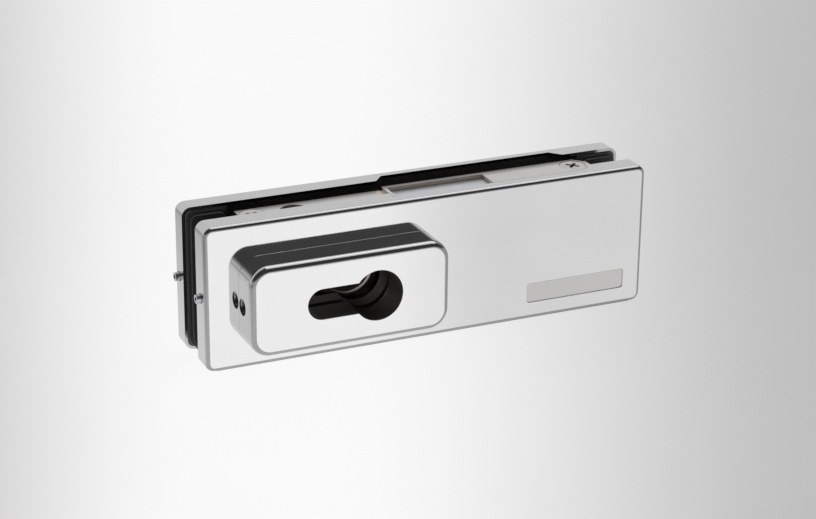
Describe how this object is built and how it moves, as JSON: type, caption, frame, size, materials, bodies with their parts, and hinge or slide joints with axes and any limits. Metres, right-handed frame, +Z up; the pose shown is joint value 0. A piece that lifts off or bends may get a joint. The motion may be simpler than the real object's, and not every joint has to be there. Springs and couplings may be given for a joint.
{
  "type": "glass door bottom lock",
  "caption": "Bottom lock for a glass door: clamp halves under polished covers, a lock case with a bolt that drops into the floor, and roses round a profile cylinder opening.",
  "frame": {"origin": "middle of the covers' length and of the gap for the glass, on the surface that the lock stands on", "axes": "+X along the lock, from the end with the cylinder to the other; -Y out of the front cover, towards the viewer; +Z up, into the door"},
  "size_m": [0.1637, 0.0514, 0.0505],
  "materials": {
    "polished_steel": "polished",
    "polished_aluminium": "polished",
    "cast_aluminium": "matte",
    "black_aluminium": "matte",
    "black_rubber": "matte",
    "nickel_case": "satin",
    "nickel_screw": "satin",
    "bolt_steel": "satin",
    "spring_steel": "satin",
    "zinc_steel": "satin",
    "black_steel": "satin"
  },
  "bodies": {
    "lock": {"front_cover": "polished_steel", "rear_cover": "polished_steel", "front_rose_plate": "cast_aluminium", "rear_rose_plate": "cast_aluminium", "front_rose_cap": "polished_aluminium", "rear_rose_cap": "polished_aluminium", "rose_set_screws": "black_steel", "rose_plate_screws": "zinc_steel", "front_clamp": "cast_aluminium", "rear_clamp": "black_aluminium", "front_left_pad": "black_rubber", "front_right_pad": "black_rubber", "rear_left_pad": "black_rubber", "rear_right_pad": "black_rubber", "lock_case": "nickel_case", "case_lid": "nickel_case", "lid_screws": "zinc_steel", "case_screws": "nickel_screw", "cylinder_screw": "nickel_screw", "clamp_screws": "zinc_steel", "cover_screws": "zinc_steel", "stop_pin": "bolt_steel", "detent_spring": "spring_steel", "spring_pin": "bolt_steel"},
    "bolt": {"bolt": "bolt_steel"}
  },
  "joints": [
    {"name": "bolt_throw", "type": "slide", "parent": "lock", "child": "bolt", "axis": [0, 0, -1], "range_m": [0, 0.02], "deforming": ["detent_spring"]}
  ]
}
